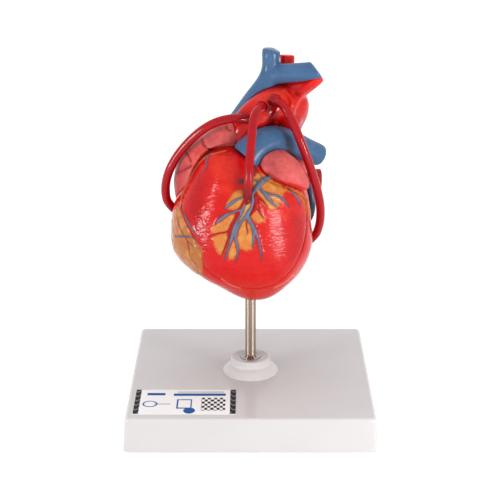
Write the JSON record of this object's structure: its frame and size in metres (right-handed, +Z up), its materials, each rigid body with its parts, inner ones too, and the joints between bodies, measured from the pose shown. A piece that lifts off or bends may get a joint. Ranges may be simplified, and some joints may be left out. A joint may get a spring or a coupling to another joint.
{
  "type": "anatomical teaching model",
  "caption": "Life-size heart model with bypass grafts and a pull-off front wall, lifted off a rod on a square base.",
  "frame": {"origin": "middle of the base at the table, under its foot pads", "axes": "+Z up along the rod, -Y towards the viewer and the front wall, +X to the viewer's right"},
  "size_m": [0.18, 0.18, 0.2691],
  "materials": {
    "base": "glossy",
    "foot": "matt",
    "label": "satin",
    "washer": "bright",
    "rod": "drawn",
    "muscle": "varnished",
    "artery": "varnished",
    "vein": "satin",
    "pulmonary": "satin",
    "atrium": "satin",
    "pink_vein": "satin",
    "graft": "varnished",
    "magnet": "plated",
    "valve": "satin",
    "papillary": "satin"
  },
  "bodies": {
    "base": {"base_plate": "base", "foot_pads": "foot", "base_label": "label", "rod_collar": "base", "star_washer": "washer"},
    "rod": {"support_rod": "rod", "rod_washer": "washer", "rod_nut": "washer"},
    "heart": {"rear_heart_shell": "muscle", "rod_sleeve": "rod", "aorta": "artery", "superior_vena_cava": "vein", "pulmonary_trunk": "pulmonary", "right_atrium": "atrium", "left_atrium": "atrium", "left_auricle": "atrium", "inferior_vena_cava": "vein", "left_pulmonary_veins": "pink_vein", "right_pulmonary_veins": "pink_vein", "right_bypass_graft": "graft", "left_bypass_graft": "graft", "rear_magnets": "magnet", "tricuspid_valve": "valve", "mitral_valve": "valve", "aortic_valve": "valve", "pulmonary_valve": "valve", "right_papillary_muscles": "papillary", "left_papillary_muscles": "papillary"},
    "front_wall": {"front_heart_wall": "muscle", "centre_bypass_graft": "graft", "front_magnets": "magnet", "locating_pegs": "magnet"}
  },
  "joints": [
    {"name": "rod_swivel", "type": "hinge", "parent": "base", "child": "rod", "pos_m": [0, 0, 0.014], "axis": [0, 0, 1], "continuous": true},
    {"name": "heart_lift", "type": "slide", "parent": "rod", "child": "heart", "axis": [0, 0, 1], "range_m": [0, 0.06]},
    {"name": "wall_pull", "type": "slide", "parent": "heart", "child": "front_wall", "axis": [0, -1, 0], "range_m": [0, 0.09]}
  ]
}
